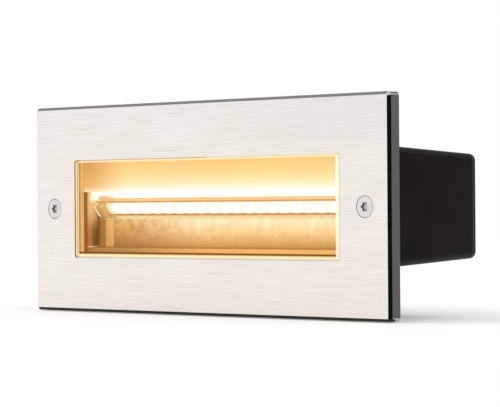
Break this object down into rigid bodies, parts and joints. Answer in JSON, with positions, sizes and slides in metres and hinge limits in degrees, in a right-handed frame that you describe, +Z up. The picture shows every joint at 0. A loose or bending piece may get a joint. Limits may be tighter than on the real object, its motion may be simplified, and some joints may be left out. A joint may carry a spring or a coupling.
{
  "type": "step light",
  "caption": "Brick-format recessed step light: brushed steel plate with a glass window and a sloping light source, on a sealed unit that pulls out of a wall box.",
  "frame": {"origin": "middle of the wall box's mouth, on the wall surface", "axes": "+X to the right seen from the front, +Y into the wall, +Z up"},
  "size_m": [0.23, 0.0735, 0.098],
  "materials": {
    "plate": "brushed",
    "screw": "satin",
    "fastener": "bright",
    "brass": "turned",
    "clear": "polished",
    "opal": "frosted",
    "frame": "moulded",
    "box": "moulded",
    "seal": "matte",
    "foam": "matte",
    "reflector": "bright",
    "carrier": "drawn",
    "housing": "cast",
    "board": "lacquered",
    "emitter": "lit",
    "lens": "clear",
    "connector": "moulded",
    "driver": "moulded",
    "cable": "matte",
    "lead": "matte",
    "terminal": "moulded"
  },
  "bodies": {
    "wall_box": {"recess_box": "box", "thread_inserts": "brass", "cable_grommet": "seal", "blanking_plug": "seal"},
    "light_unit": {"faceplate": "plate", "weld_studs": "fastener", "stud_nuts": "fastener", "screw_retainers": "fastener", "glass_pane": "clear", "window_seal": "seal", "diffuser_strip": "opal", "front_frame": "frame", "wall_gasket": "foam", "housing_seal": "seal", "reflector": "reflector", "led_board": "board", "led_chips": "emitter", "led_lens": "lens", "board_connector": "connector", "board_screws": "fastener", "led_carrier": "carrier", "carrier_screws": "fastener", "lamp_housing": "housing", "housing_screws": "fastener", "driver_module": "driver", "driver_screws": "fastener", "led_leads": "lead", "supply_lead": "cable", "supply_gland": "driver", "supply_gland_seal": "seal", "supply_gland_nut": "driver", "terminal_block": "terminal", "terminal_screws": "fastener", "terminal_fixings": "fastener", "earth_screw": "brass"},
    "left_screw": {"cover_screw_left": "screw"},
    "right_screw": {"cover_screw_right": "screw"}
  },
  "joints": [
    {"name": "light_unit_pull", "type": "slide", "parent": "wall_box", "child": "light_unit", "axis": [0, -1, 0], "range_m": [0, 0.08]},
    {"name": "left_screw_turn", "type": "hinge", "parent": "light_unit", "child": "left_screw", "pos_m": [-0.1007, -0.0064, 0], "axis": [0, -1, 0], "continuous": true},
    {"name": "right_screw_turn", "type": "hinge", "parent": "light_unit", "child": "right_screw", "pos_m": [0.1007, -0.0064, 0], "axis": [0, -1, 0], "continuous": true}
  ]
}
